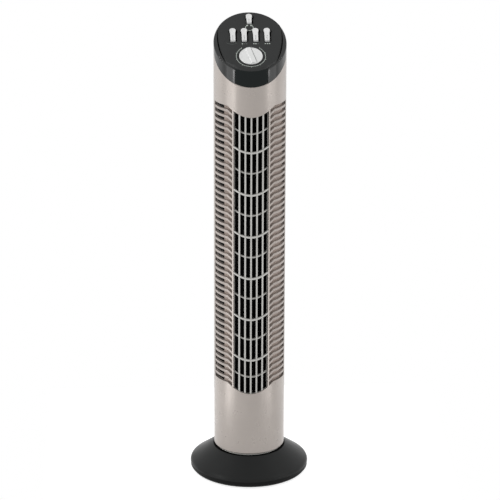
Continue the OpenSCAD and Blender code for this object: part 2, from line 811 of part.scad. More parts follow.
module motor_rotor() color(steel) difference() {
    union() {
        disc(rotor_r - air_gap, motor_mid - core_h / 2, motor_mid + core_h / 2);
        disc(rotor_r - 3, motor_mid - core_h / 2 - 3, motor_mid + core_h / 2 + 3);
    }
    disc(shaft_r + press, motor_mid - core_h, motor_mid + core_h);
}

module stator_core() color(steel) difference() {
    slot_count_core = 12;
    disc(core_r, motor_mid - core_h / 2, motor_mid + core_h / 2);
    disc(rotor_r, motor_mid - core_h, motor_mid + core_h);
    ring_of(slot_count_core, 0, 15) translate([rotor_r - 1, -1.2, motor_mid - core_h])
        cube([4, 2.4, 2 * core_h]);
    ring_of(slot_count_core, rotor_r + 5.4, 15) disc(2.6, motor_mid - core_h, motor_mid + core_h);
}

// Copper overhangs above and below the core.
module stator_coils() color(copper) {
    overhang = 8;
    r0 = rotor_r + 1.5;
    r1 = core_r - 4;
    for (s = [-1, 1]) translate([0, 0, motor_mid]) scale([1, 1, s]) translate([0, 0, core_h / 2])
        rotate_extrude() polygon([[r0, 0], [r1, 0], [r1, overhang - 2], [r1 - 2, overhang],
                                  [r0 + 2, overhang], [r0, overhang - 2]]);
}

// Pressed steel end shell, open upwards, with a seat for its bush.
module motor_shell() difference() {
    union() {
        cylinder(r = motor_r, h = shell_h);
        cylinder(r = bush_r + 2, h = bush_h);
    }
    difference() {
        translate([0, 0, shell_t]) cylinder(r = motor_r - shell_t, h = shell_h);
        cylinder(r = bush_r + 2, h = bush_h);
    }
    translate([0, 0, -1]) cylinder(r = bush_r + press, h = bush_h + 2);
    ring_of(6, motor_r * 0.66) translate([0, 0, -1]) cylinder(r = 3.4, h = shell_t + 2);
}

module motor_lower_shell() color(steel) translate([0, 0, motor_z0]) motor_shell();

module motor_upper_shell() color(steel) {
    translate([0, 0, motor_z1]) mirror([0, 0, 1]) motor_shell();
    difference() {
        ring_of(lug_count, 0, lug_a) {
            translate([motor_r - 1, -lug_r, motor_z1 - lug_t])
                cube([lug_reach + 1, 2 * lug_r, lug_t]);
            translate([lug_pcd_r, 0, 0]) disc(lug_r, motor_z1 - lug_t, motor_z1);
        }
        ring_of(lug_count, lug_pcd_r, lug_a) disc(motor_screw_r + fit, motor_z1 - 5, motor_z1 + 1);
        disc(motor_r - 0.5, motor_z1 - 5, motor_z1 + 1);
    }
}

module motor_bushes() color(bronze)
    for (z = [motor_z0, motor_z1 - bush_h]) tube(bush_r, shaft_r + run, z, z + bush_h);

module motor_grommets() color(black)
    ring_of(lug_count, lug_pcd_r, lug_a) tube(lug_r, motor_screw_r + fit, motor_z1, deck_z0);

module motor_screws() color(steel)
    ring_of(lug_count, lug_pcd_r, lug_a) translate([0, 0, motor_z1 - lug_t - motor_screw_head_h])
        screw(motor_screw_head_r, motor_screw_head_h, motor_screw_r,
              deck_z1 - motor_z1 + lug_t + motor_screw_head_h);

module capacitor() color(pearl)
    translate([-capacitor_size[0] / 2, -capacitor_y, floor_z1]) cube(capacitor_size);

// ---------- swing drive ----------

module swing_motor() color(steel) translate([0, crank_x, swing_motor_z0]) difference() {
    union() {
        cylinder(r = swing_motor_r, h = swing_motor_h);
        translate([-swing_ear_x, -3.6, 0]) cube([2 * swing_ear_x, 7.2, 1.4]);
        both_sides(swing_ear_x) cylinder(r = 3.6, h = 1.4);
    }
    both_sides(swing_ear_x) translate([0, 0, -1]) cylinder(r = 1.6, h = 4);
    translate([0, 0, -1]) cylinder(r = swing_shaft_r + run, h = 9);
}

module swing_motor_screws() color(steel)
    translate([0, crank_x, swing_motor_z0 + 1.4 + 1.4]) both_sides(swing_ear_x)
        rotate([180, 0, 0]) screw(2.6, 1.4, 1.1, 7.6);

module swing_shaft() color(steel) translate([0, crank_x, 0])
    disc(swing_shaft_r, crank_z0, swing_motor_z0 + 7.5);

module swing_crank() color(pearl) translate([0, crank_x, 0]) difference() {
    union() {
        disc(swing_shaft_r + 3, crank_z0, crank_z1);
        translate([-crank_end_r, 0, crank_z0]) cube([2 * crank_end_r, crank_r, crank_t]);
        translate([0, crank_r, 0]) disc(crank_end_r, crank_z0, crank_z1);
        translate([0, crank_r, 0]) disc(roller_pin_r, roller_z0, crank_z1);
    }
    disc(swing_shaft_r + press, crank_z0 - 1, crank_z1 + 1);
}

module crank_roller() color(bronze) translate([0, crank_x + crank_r, 0])
    tube(roller_r, roller_pin_r + press, roller_z0, roller_z1);

// ---------- cap and control panel ----------

// Solid of the cap: the round housing cut by the top plane, with a rounded rim.
module cap_envelope() {
    n = 120;
    bottom_z = seam_z - lift(r_out, seam_tilt) * sin(seam_tilt) - 3;
    rim = [for (i = [0:4]) let (a = 22.5 * i) cap_round * [1 - cos(a), 1 - sin(a)]];
    function rim_point(i, p) = let (a = 360 * i / n, r = r_out - p[0], y = -r * cos(a))
        [r * sin(a), y, cap_z + y * tan(cap_tilt) - p[1]];
    rings = len(rim) + 1;
    points = concat(
        [for (i = [0:n - 1]) [r_out * sin(360 * i / n), -r_out * cos(360 * i / n), bottom_z]],
        [for (p = rim, i = [0:n - 1]) rim_point(i, p)]);
    faces = concat(
        [[for (i = [0:n - 1]) i]],
        [for (j = [0:rings - 2], i = [0:n - 1], k = [0, 1]) let (
            a = j * n + i, b = j * n + (i + 1) % n, c = a + n, d = b + n)
            k == 0 ? [a, c, b] : [b, c, d]],
        [[for (i = [n - 1:-1:0]) (rings - 1) * n + i]]);
    polyhedron(points = points, faces = faces, convexity = 4);
}

// Plan outline of the control panel, grown by g: the cap's circle between two bowed sides.
module panel_plan(g = 0) intersection() {
    circle(r = r_out - panel_edge + g);
    translate([panel_half_w - panel_side_r, panel_wide_y]) circle(r = panel_side_r + g);
    translate([panel_side_r - panel_half_w, panel_wide_y]) circle(r = panel_side_r + g);
}

// Front stretch of the panel that reaches over the front plate.
module panel_nose() intersection() {
    circle(r = r_out - nose_in);
    translate([-panel_front_w, -r_out - 1]) square([2 * panel_front_w, r_out / 2]);
}

module top_cap() color(charcoal) {
    skirt_r = r_in - fit;
    inner_top = cap_z - lift(cap_t, cap_tilt);
    difference() {
        intersection() {
            cap_envelope();
            union() {
                above(seam_z, seam_tilt);
                above(cap_z - lift(cap_rim_t, cap_tilt), cap_tilt);
            }
        }
        intersection() {
            disc(r_in, 0, top_far);
            below(inner_top, cap_tilt);
        }
        panel_seat();
        linear_extrude(top_far) panel_plan(-ledge_in);
        swing_key_way();
        difference() {
            translate([-panel_front_w - fit, -far / 4, 0])
                cube([2 * (panel_front_w + fit), far / 4, top_far]);
            disc(r_in, -1, top_far + 1);
        }
    }
    difference() {
        intersection() {
            tube(skirt_r, skirt_r - skirt_t, 0, top_far);
            union() {
                above(seam_z - lift(skirt_h, seam_tilt), seam_tilt);
                above(cap_z - lift(cap_rim_t + skirt_h, cap_tilt), cap_tilt);
            }
            below(cap_z - lift(cap_rim_t - 1, cap_tilt), cap_tilt);
        }
        panel_seat();
        swing_key_way();
    }
}

// Recess in the cap that the panel lies in.
module panel_seat() intersection() {
    linear_extrude(top_far) panel_plan(fit);
    above_underside();
}

// Way of the swing key under the panel, through the cap's ledge and skirt.
module swing_key_way() on_panel() translate([0, swing_key_y, -panel_t - key_way_h])
    linear_extrude(key_way_h) key_outline(swing_key_len, key_flange + key_gap);

// Outline of a key from its round end at the origin, down the slope.
module key_outline(length, g = 0) {
    tip = key_r - length;
    circle(r = key_r + g);
    polygon([[-key_neck - g, 0], [-key_end - g, tip + key_corner], [-key_end + key_corner, tip - g],
             [key_end - key_corner, tip - g], [key_end + g, tip + key_corner], [key_neck + g, 0]]);
    both_sides(key_end - key_corner) translate([0, tip + key_corner]) circle(r = key_corner + g);
}

speed_keys = [for (i = [0:3]) [(i - 1.5) * key_pitch, key_y]];

module control_panel() color(charcoal) {
    difference() {
        intersection() {
            linear_extrude(top_far) union() {
                panel_plan();
                panel_nose();
            }
            below(panel_z, panel_tilt);
            above_underside();
        }
        on_panel() {
            translate([0, knob_y, -knob_well]) cylinder(r = knob_d / 2 + knob_side, h = 2 * knob_well);
            for (p = speed_keys) translate([p[0], p[1], -2 * panel_t])
                linear_extrude(4 * panel_t) key_outline(key_len, key_gap);
            translate([0, swing_key_y, -2 * panel_t])
                linear_extrude(4 * panel_t) key_outline(swing_key_len, key_gap);
            translate([0, knob_y, -2 * panel_t]) cylinder(r = spindle_r + 1, h = 4 * panel_t);
        }
    }
    on_panel() {
        both_sides(post_x) translate([0, bank_y, bank_z1]) cylinder(r = post_r, h = -bank_z1 - panel_t + eps);
        both_sides(swing_post_x) translate([0, swing_stem_y, swing_box_z1])
            cylinder(r = 2, h = -swing_box_z1 - panel_t + eps);
    }
}

module front_plate() color(black) intersection() {
    tube(r_out - plate_in, r_out - plate_in - plate_t, 0, top_far);
    translate([-panel_front_w, -r_out, 0]) cube([2 * panel_front_w, r_out, top_far]);
    above(seam_z, seam_tilt);
    below(panel_z - lift(panel_t, panel_tilt), panel_tilt);
}

module key_bank() color(pearl) on_panel() difference() {
    union() {
        translate([-bank_x, bank_y - bank_w / 2, bank_z0])
            cube([2 * bank_x, bank_w, bank_z1 - bank_z0]);
        translate([-post_x - post_r, bank_y - post_r, bank_z1 - 2])
            cube([2 * (post_x + post_r), 2 * post_r, 2]);
    }
    for (p = speed_keys)
        translate([p[0] - stem_w / 2 - key_gap, bank_y - stem_t / 2 - key_gap, stem_z - key_travel - 1])
            cube([stem_w + 2 * key_gap, stem_t + 2 * key_gap, far / 10]);
}

module swing_switch() color(pearl) on_panel() difference() {
    union() {
        translate([-swing_box[0] / 2, swing_stem_y - swing_box[1] / 2, swing_box_z1 - swing_box[2]])
            cube(swing_box);
        translate([-swing_post_x - 2, swing_stem_y - 2, swing_box_z1 - 1.6])
            cube([2 * swing_post_x + 4, 4, 1.6]);
    }
    translate([-stem_w / 2 - key_gap, swing_stem_y - stem_t / 2 - key_gap, stem_z - key_travel - 1])
        cube([stem_w + 2 * key_gap, stem_t + 2 * key_gap, far / 10]);
}

module timer_unit() color(pearl) on_panel() translate([0, knob_y, -panel_t - timer_depth]) difference() {
    cylinder(r = timer_r, h = timer_depth - press);
    translate([0, 0, timer_depth - 12]) cylinder(r = spindle_r + run, h = 13);
}

module timer_spindle() color(steel) on_panel() translate([0, knob_y, 0])
    disc(spindle_r, -panel_t - 11, knob_z + knob_h - 1);

// Round knob with a dished top and a raised pointer blade across it.
module timer_knob() color(pearl) on_panel() translate([0, knob_y, knob_z]) {
    r = knob_d / 2;
    difference() {
        union() {
            rotate_extrude() polygon([
                [0, 0], [r - 0.6, 0], [r, 0.6], [r, knob_h - 0.8], [r - 0.3, knob_h - 0.2],
                [r - 0.8, knob_h], [r - 1.6, knob_h], [r - 1.6 - knob_dish, knob_h - knob_dish],
                [0, knob_h - knob_dish]]);
            rotate([0, 0, blade_turn]) intersection() {
                rotate([90, 0, 0]) linear_extrude(knob_d, center = true) polygon([
                    [-blade_w / 2, knob_h - 1], [-blade_w / 2, knob_h + 0.2],
                    [-blade_w / 2 + 1.6, knob_h + blade_h], [blade_w / 2 - 0.8, knob_h + blade_h],
                    [blade_w / 2, knob_h + 0.2], [blade_w / 2, knob_h - 1]]);
                cylinder(r = r - 1.2, h = 2 * (knob_h + blade_h));
            }
        }
        translate([0, 0, -1]) cylinder(r = spindle_r + press, h = knob_h);
    }
}

// ---------- keys ----------

// Key in its opening, with the lip under the panel and the stem that works its switch.
module piano_key(at, length, stem_y) color(pearl) on_panel() {
    translate([at[0], at[1], 0]) difference() {
        union() {
            translate([0, 0, -panel_t - fit]) linear_extrude(key_h + panel_t + fit) key_outline(length);
            translate([0, 0, -panel_t - fit - key_flange_t]) linear_extrude(key_flange_t + eps)
                key_outline(length, key_flange);
        }
        translate([0, 0, key_h + 3.9]) sphere(r = 4.6);
        translate([-groove_w / 2, key_r - length - 1, key_h - 1.2])
            cube([groove_w, key_groove * length / key_len + 1, 2]);
    }
    translate([at[0] - stem_w / 2, stem_y - stem_t / 2, stem_z])
        cube([stem_w, stem_t, -panel_t - fit - key_flange_t - stem_z + eps]);
}

module key_off() piano_key(speed_keys[0], key_len, bank_y);
module key_low() piano_key(speed_keys[1], key_len, bank_y);
module key_medium() piano_key(speed_keys[2], key_len, bank_y);
module key_high() piano_key(speed_keys[3], key_len, bank_y);
module key_swing() piano_key([0, swing_key_y], swing_key_len, swing_stem_y);

base_tray();
base_cover();
base_weight();
rubber_feet();
base_screws();
thrust_ring();
swing_guide();
head_floor();
pivot_tube();
pivot_washer();
retaining_ring();
floor_screws();
front_housing();
rear_housing();
housing_screws();
front_grille();
louvre_panel_left();
louvre_panel_right();
rear_grille();
volute_wall();
stabiliser_wall();
motor_deck();
bearing_bridge();
bush_rubber();
upper_bush();
motor_lower_shell();
motor_upper_shell();
stator_core();
stator_coils();
motor_bushes();
motor_grommets();
motor_screws();
capacitor();
cord_gland();
swing_motor();
swing_motor_screws();
top_cap();
control_panel();
front_plate();
key_bank();
timer_unit();
swing_switch();
impeller();
motor_shaft();
motor_rotor();
upper_stub_shaft();
swing_shaft();
swing_crank();
crank_roller();
timer_knob();
timer_spindle();
key_off();
key_low();
key_medium();
key_high();
key_swing();
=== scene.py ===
"""Tower fan: materials, small details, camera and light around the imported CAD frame."""

import math

import bpy
from mathutils import Matrix, Vector


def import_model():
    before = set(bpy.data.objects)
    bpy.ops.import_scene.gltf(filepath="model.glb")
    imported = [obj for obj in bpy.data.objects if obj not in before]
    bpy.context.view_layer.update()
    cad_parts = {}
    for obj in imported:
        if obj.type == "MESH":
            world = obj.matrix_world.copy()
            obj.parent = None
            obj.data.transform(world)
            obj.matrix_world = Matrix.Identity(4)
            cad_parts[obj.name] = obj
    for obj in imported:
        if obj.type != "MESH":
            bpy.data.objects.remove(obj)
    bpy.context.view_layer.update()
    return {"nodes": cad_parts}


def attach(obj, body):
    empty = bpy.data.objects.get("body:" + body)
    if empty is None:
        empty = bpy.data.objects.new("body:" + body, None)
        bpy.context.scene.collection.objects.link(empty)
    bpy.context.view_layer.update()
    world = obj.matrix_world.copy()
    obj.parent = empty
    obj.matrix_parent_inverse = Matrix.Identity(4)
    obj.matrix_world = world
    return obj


MM = 0.001

# Sizes of the CAD source that the details are placed by, in millimetres and degrees.
# Places on the panel are measured up its slope from the swivel axis.
PANEL_Z = 735.9         # control panel's top plane at the swivel axis
PANEL_TILT = 28.4
PANEL_HALF_W = 50.5     # half width of the panel at its widest, in plan
PANEL_WIDE_Y = 10.0     # place of that width, behind the axis
PANEL_SIDE_R = 120.0    # radius of its bowed sides
CAP_Z = 733.4           # cap's top plane at the swivel axis
CAP_TILT = 30.0
ROW_KEYS = 4            # the off key and three speed keys
KEY_PITCH = 18.1
KEY_R = 5.0             # radius of a key's round end
KEY_Y = 19.3            # centre of its round end, for the keys in the row
KEY_LENGTH = 28.2
SWING_KEY_Y = 52.33     # centre of the swing key's round end
SWING_KEY_LENGTH = 20.3
KNOB_Y = -36.93         # knob's axis
KNOB_DISH_Z = 1.3       # floor of the knob's dish above the panel
BLADE_HALF_W = 4.6      # knob's pointer
BLADE_TURN = 15.0       # its turn from the slope
STAND_TOP_Z = 42.5      # flat of the stand's cover, under the head

# Sizes of the details, in millimetres and degrees.
INK_AND_SHADE_H = 0.06          # height of ink and of the painted shade
EDGE_SHADE_W = 1.8          # painted shade beside the raised panel, at its widest
EDGE_SHADE_Y0, EDGE_SHADE_Y1 = -37.0, 23.0
EDGE_SHADE_OFF = 0.2        # from the panel's side to the painted shade
EDGE_SHADE_STEPS = 24
KEY_SHADE_R = 7.2            # painted shade round a key's round end, in place of a recess and its shadow
KEY_SHADE_HALF_W = 5.8       # half width of the painted shade along the stem
KEY_SHADE_STEM = 8.0         # from the round end's centre to where that width begins
KEY_SHADE_X = 0.7            # the painted shade lies to the right of its key's centre, as a shadow from the left
KEY_SHADE_ANGLES = range(-30, 211, 10)
KEY_SHADE_SHORT = 1.0        # the stem reaches this far past the painted shade
POINTER_SHADE_X0, POINTER_SHADE_X1 = 0.05, 1.0    # painted shade beside the pointer's right side
POINTER_SHADE_HALF_LENGTH = 15.0
RING_R0, RING_R1 = 50.5, 59.4   # shadow under the head
RING_STEPS = 96
PAINT_R = 56.2          # inside this radius the housing is unpainted
PAINT_EDGE = 0.1        # to both sides of it, the colour goes over
BACKING_R = 52.72       # middle radius of the walls behind parts of the side louvres
BACKING_T = 0.15
BACKING_LEFT = (-30.6, -52.7)   # angles from the front, towards +X
BACKING_RIGHT = (30.6, 76.0)
BACKING_Z0, BACKING_Z1 = 142.0, 645.2
BACKING_STEPS = 12

# Printed marks, in the panel's plane.
LEVELS = (1, 2, 3)
LEVEL_Y = -8.5
LEVEL_PITCH = 3.3
LEVEL_SIDE = 1.9
SWING_MARK_Y = 28.3
SWING_MARK_R = 6.2
SWING_MARK_HALF_W = 0.45
SWING_MARK_ENDS = (130, 414)    # angles from +x, as for the other arcs
SWING_MARK_STEPS = 48
ARROW_LENGTH = 3.4
ARROW_HALF_W = 2.0
SCALE_R0, SCALE_R1 = 22.7, 23.4
SCALE_ENDS = (126, 414)
SCALE_STEPS = 96
SCALE_TICKS = 9
SCALE_TICK_R = 24.9     # outer end of a tick
SCALE_TICK_W = 0.6
OFF_CENTRE = (-28.8, 5.9)
OFF_R0, OFF_R1 = 14.6, 15.1
OFF_ENDS = (236, 303)
OFF_STEPS = 32
LABEL_XS = (-4, -2, 0, 2, 4)
LABEL_HALF_W = 0.3
LABEL_Y0, LABEL_Y1 = -15.6, -14.0

# Colours, as sRGB values.
GREIGE = (172, 164, 158)
LOUVRE_GREIGE = (164, 155, 149)
GRILLE_GREY = (198, 197, 193)
DUCT_GREIGE = (216, 200, 190)
BACKING_GREIGE = (176, 161, 152)
CHARCOAL = (38, 39, 39)
PANEL_GREY = (56, 57, 57)
STAND_GREY = (33, 34, 34)
TRAY_BLACK = (16, 17, 17)
GLOSS_BLACK = (4, 14, 14)
PEARL = (250, 251, 250)
INK = (205, 214, 206)
INK_FAINT = (96, 102, 99)
# grey of the painted shade beside the knob's pointer
POINTER_SHADE_GREY = (150, 150, 150)
BLACK = (18, 18, 19)
DEEP_BLACK = (5, 5, 5)
RUBBER_BLACK = (24, 24, 24)
STEEL = (150, 152, 155)
COPPER = (150, 84, 48)
BRONZE = (140, 108, 66)
WHITE_PLASTIC = (214, 213, 208)

# Surfaces: scales of the textures, depths in millimetres and angles in degrees.
DRIFT_SCALE = 14            # slow drift of a colour
DRIFT_LOW, DRIFT_HIGH = 0.35, 0.65      # noise values at its two ends
DRIFT_SPREAD = 0.02
ROUGHNESS_SCALE = 60
ROUGHNESS_SPREAD = 0.04
NOISE_LOW, NOISE_HIGH = 0.3, 0.7        # where most of a noise lies
GRAIN_SCALE = 2600
GRAIN_DEPTH = 0.05
WINDING_SCALE = 400         # turns of the copper winding
WINDING_DEPTH = 0.2
WINDING_SPREAD = 0.25
NODE_SHARP = 24             # edges of the CAD's nodes stay sharp from this angle
ADDED_SHARP = 30            # and those of pieces made here
MIX_A, MIX_B, MIX_RESULT = 6, 7, 2      # colour sockets of a Mix node

# Light, with sizes and places in metres and degrees.
ROOM_LIGHT = 0.56           # strength of the world on the object
SIDE_LEFT = 1.3             # radiance of the lamps
SIDE_RIGHT = 0.9
LOW_GAIN = 2.4              # lower lamps over upper ones
RIM_LIGHT = 0.3
KEY_LIGHT = 38.0
STRIP_LIGHT = 8.0           # small lamps that the cap's front mirrors beside its plate
SIDE_Z, LOW_Z, RIM_Z, KEY_Z = 0.4, -0.65, 0.3, 0.7     # heights that the lamps aim at
SIDE_ROLL = 16.0
RIM_SIZE = (0.8, 2.4)
STRIP_SIZE = (0.16, 0.12)
LAMP_DISTANCE = 1.2
KEY_DISTANCE = 1.6
KEY_ELEVATION = 36
FLOOR_GREY = (212, 212, 212)
FLOOR_GLOW = 0.78           # backdrop light that the floor shows to the camera
FLOOR_HALF = 0.34

# Camera, in metres and degrees; its lens and sensor in millimetres.
CAMERA_AZIMUTH = -2.6
CAMERA_DISTANCE = 4.002
CAMERA_HEIGHT = 1.819
CAMERA_PITCH = 19.75
CAMERA_ROLL = 0.15
CAMERA_FAR = 40
CAMERA_SENSOR = 36
CAMERA_LENS = 188.064
CAMERA_SHIFT = 0.001        # of the picture's width, the same across and up


# ---------- materials ----------

def linear(rgb):
    """sRGB 0-255 as the linear colour with alpha that shaders take."""
    def one(v):
        v /= 255
        return v / 12.92 if v <= 0.04045 else ((v + 0.055) / 1.055) ** 2.4
    return (*(one(v) for v in rgb), 1.0)


def new_material(name):
    """Material with a plain shader: the material, its node tree and the shader."""
    mat = bpy.data.materials.new(name)
    mat.use_nodes = True
    tree = mat.node_tree
    tree.nodes.clear()
    out = tree.nodes.new("ShaderNodeOutputMaterial")
    shader = tree.nodes.new("ShaderNodeBsdfPrincipled")
    tree.links.new(shader.outputs["BSDF"], out.inputs["Surface"])
    return mat, tree, shader


def noise(tree, coords, scale, detail):
    """Noise texture's value at the coordinates."""
    node = tree.nodes.new("ShaderNodeTexNoise")
    node.inputs["Scale"].default_value = scale
    node.inputs["Detail"].default_value = detail
    tree.links.new(coords, node.inputs["Vector"])
    return node.outputs["Fac"]


def remap(tree, value, low, high, start=NOISE_LOW, end=NOISE_HIGH):
    """Takes start..end of a value to low..high."""
    node = tree.nodes.new("ShaderNodeMapRange")
    node.inputs["From Min"].default_value = start
    node.inputs["From Max"].default_value = end
    node.inputs["To Min"].default_value = low
    node.inputs["To Max"].default_value = high
    tree.links.new(value, node.inputs["Value"])
    return node.outputs["Result"]


def tint(tree, value, rgb, spread):
    """Colour that drifts around rgb as the value goes from low to high."""
    ramp = tree.nodes.new("ShaderNodeValToRGB")
    for element, factor in zip(ramp.color_ramp.elements, (1 - spread, 1 + spread)):
        element.color = linear([min(255, v * factor) for v in rgb])
    ramp.color_ramp.elements[0].position = DRIFT_LOW
    ramp.color_ramp.elements[1].position = DRIFT_HIGH
    tree.links.new(value, ramp.inputs["Fac"])
    return ramp.outputs["Color"]


def painted_outside(tree, coords, outer, inner):
    """Outer colour beyond PAINT_R from the fan's axis, inner colour within it."""
    flat = tree.nodes.new("ShaderNodeVectorMath")
    flat.operation = "MULTIPLY"
    flat.inputs[1].default_value = (1, 1, 0)
    tree.links.new(coords, flat.inputs[0])
    radius = tree.nodes.new("ShaderNodeVectorMath")
    radius.operation = "LENGTH"
    tree.links.new(flat.outputs["Vector"], radius.inputs[0])
    mix = tree.nodes.new("ShaderNodeMix")
    mix.data_type = "RGBA"
    painted = remap(tree, radius.outputs["Value"], 0.0, 1.0,
                    (PAINT_R - PAINT_EDGE) * MM, (PAINT_R + PAINT_EDGE) * MM)
    tree.links.new(painted, mix.inputs["Factor"])
    tree.links.new(inner, mix.inputs[MIX_A])
    tree.links.new(outer, mix.inputs[MIX_B])
    return mix.outputs[MIX_RESULT]


def moulded(name, rgb, roughness, grain=0.0, edge=0.35, specular=0.5, metallic=0.0, raw=None):
    """Moulded plastic or plain metal: slow colour drift, fine grain and softened edges.

    edge is the radius of the softened edges in millimetres; raw is the colour of the
    unpainted side, inside the housing's wall.
    """
    mat, tree, shader = new_material(name)
    coords = tree.nodes.new("ShaderNodeTexCoord").outputs["Object"]
    slow = noise(tree, coords, DRIFT_SCALE, detail=3)
    fine = noise(tree, coords, GRAIN_SCALE, detail=2)
    colour = tint(tree, slow, rgb, DRIFT_SPREAD)
    if raw:
        colour = painted_outside(tree, coords, colour, tint(tree, slow, raw, DRIFT_SPREAD))
    tree.links.new(colour, shader.inputs["Base Color"])
    worn = noise(tree, coords, ROUGHNESS_SCALE, detail=3)
    tree.links.new(remap(tree, worn, roughness - ROUGHNESS_SPREAD, roughness + ROUGHNESS_SPREAD),
                   shader.inputs["Roughness"])
    shader.inputs["Specular IOR Level"].default_value = specular
    shader.inputs["Metallic"].default_value = metallic
    bump = tree.nodes.new("ShaderNodeBump")
    bump.inputs["Strength"].default_value = grain
    bump.inputs["Distance"].default_value = GRAIN_DEPTH * MM
    tree.links.new(fine, bump.inputs["Height"])
    if edge:
        bevel = tree.nodes.new("ShaderNodeBevel")
        bevel.samples = 4
        bevel.inputs["Radius"].default_value = edge * MM
        tree.links.new(bevel.outputs["Normal"], bump.inputs["Normal"])
    tree.links.new(bump.outputs["Normal"], shader.inputs["Normal"])
    return mat


def wound(name, rgb):
    """Enamelled copper winding: fine round turns."""
    mat, tree, shader = new_material(name)
    coords = tree.nodes.new("ShaderNodeTexCoord").outputs["Object"]
    wave = tree.nodes.new("ShaderNodeTexWave")
    wave.inputs["Scale"].default_value = WINDING_SCALE
    wave.inputs["Distortion"].default_value = 1.5
    wave.bands_direction = "Z"
    tree.links.new(coords, wave.inputs["Vector"])
    turns = wave.outputs["Fac"]
    tree.links.new(tint(tree, turns, rgb, WINDING_SPREAD), shader.inputs["Base Color"])
    shader.inputs["Metallic"].default_value = 0.8
    shader.inputs["Roughness"].default_value = 0.35
    bump = tree.nodes.new("ShaderNodeBump")
    bump.inputs["Distance"].default_value = WINDING_DEPTH * MM
    tree.links.new(turns, bump.inputs["Height"])
    tree.links.new(bump.outputs["Normal"], shader.inputs["Normal"])
    return mat


def make_materials():
    """All the materials by their short names."""
    return {
        "housing": moulded("housing_satin", GREIGE, 0.3, grain=0.04, metallic=0.3, raw=BLACK),
        "louvre": moulded("louvre_satin", LOUVRE_GREIGE, 0.36, grain=0.04, metallic=0.2),
        "grille": moulded("grille_satin", GRILLE_GREY, 0.36, grain=0.04),
        "duct": moulded("duct_plastic", DUCT_GREIGE, 0.6, grain=0.2),
        "backing": moulded("backing_plastic", BACKING_GREIGE, 0.6, edge=0),
        "cap": moulded("cap_satin", CHARCOAL, 0.12, grain=0.05, specular=0.4),
        "panel": moulded("panel_satin", PANEL_GREY, 0.3, grain=0.2, specular=0.12, edge=0.6),
        "stand": moulded("stand_satin", STAND_GREY, 0.34, grain=0.05, specular=0.12),
        "tray": moulded("tray_plastic", TRAY_BLACK, 0.5, grain=0.05, specular=0.1),
        "gloss": moulded("front_plate_gloss", GLOSS_BLACK, 0.08, specular=0.2, edge=0.3),
        "pearl": moulded("control_pearl", PEARL, 0.3, grain=0.1, edge=0.5),
        "ink": moulded("printed_ink", INK, 0.5, edge=0),
        "ink_faint": moulded("printed_ink_faint", INK_FAINT, 0.5, edge=0),
        "black": moulded("black_plastic", BLACK, 0.5, grain=0.3),
        "impeller": moulded("impeller_plastic", DEEP_BLACK, 0.6, specular=0.1, edge=0),
        # Painted shade: dark sheets beside the raised panel and round the keys, and a painted
        # shadow under the head.
        "painted_shade": moulded("painted_shade_black", DEEP_BLACK, 0.7, specular=0.03, edge=0),
        # Painted shade at the foot of the knob's pointer.
        "line": moulded("knob_pointer_shade_grey", POINTER_SHADE_GREY, 0.5, edge=0),
        "rubber": moulded("rubber", RUBBER_BLACK, 0.8, grain=0.5),
        "steel": moulded("steel", STEEL, 0.35, metallic=1.0),
        "bronze": moulded("sintered_bronze", BRONZE, 0.55, metallic=0.9, grain=0.6),
        "white": moulded("inner_plastic", WHITE_PLASTIC, 0.45, grain=0.2),
        "copper": wound("copper_winding", COPPER),
    }


# Nodes of the frame by the short name of their material.
NODE_MATERIALS = {
    "housing": ["front_housing", "rear_housing"],
    "louvre": ["louvre_panel_left", "louvre_panel_right", "rear_grille"],
    "grille": ["front_grille"],
    "duct": ["volute_wall", "stabiliser_wall"],
    "cap": ["top_cap"],
    "panel": ["control_panel"],
    "stand": ["base_cover"],
    "tray": ["base_tray"],
    "gloss": ["front_plate"],
    "pearl": ["timer_knob", "key_off", "key_low", "key_medium", "key_high", "key_swing"],
    "black": ["head_floor", "pivot_tube", "motor_deck", "bearing_bridge"],
    "impeller": ["impeller"],
    "rubber": ["rubber_feet", "bush_rubber", "motor_grommets", "cord_gland"],
    "steel": ["base_weight", "base_screws", "retaining_ring", "floor_screws", "housing_screws",
              "motor_lower_shell", "motor_upper_shell", "stator_core", "motor_screws",
              "swing_motor", "swing_motor_screws", "motor_shaft", "motor_rotor",
              "upper_stub_shaft", "swing_shaft", "timer_spindle"],
    "bronze": ["upper_bush", "motor_bushes", "crank_roller"],
    "white": ["thrust_ring", "swing_guide", "pivot_washer", "swing_crank", "key_bank",
              "timer_unit", "swing_switch", "capacitor"],
    "copper": ["stator_coils"],
}


def shade(mesh, sharp_angle):
    """Smooth shading across edges that bend less than the angle."""
    mesh.shade_smooth()
    mesh.set_sharp_from_angle(angle=math.radians(sharp_angle))


def dress_nodes(nodes, mats):
    """Gives every CAD node its material and shading."""
    for key, names in NODE_MATERIALS.items():
        for name in names:
            mesh = nodes[name].data
            mesh.materials.clear()
            mesh.materials.append(mats[key])
            shade(mesh, NODE_SHARP)


# ---------- meshes ----------

def panel_matrix():
    """Frame of the control panel's top face: x right, y up the slope, z out of the panel."""
    return (Matrix.Translation((0, 0, PANEL_Z * MM))
            @ Matrix.Rotation(math.radians(PANEL_TILT), 4, "X"))


def add_mesh(name, shape, material, body, matrix=None, smooth=False):
    """Adds a piece, made of vertices in millimetres and faces, that rides on a body."""
    verts, faces = shape
    mesh = bpy.data.meshes.new(name)
    mesh.from_pydata([Vector(v) * MM for v in verts], [], faces)
    if matrix is not None:
        mesh.transform(matrix)
    mesh.materials.append(material)
    mesh.update()
    if smooth:
        shade(mesh, ADDED_SHARP)
    obj = bpy.data.objects.new(name, mesh)
    bpy.context.scene.collection.objects.link(obj)
    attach(obj, body)


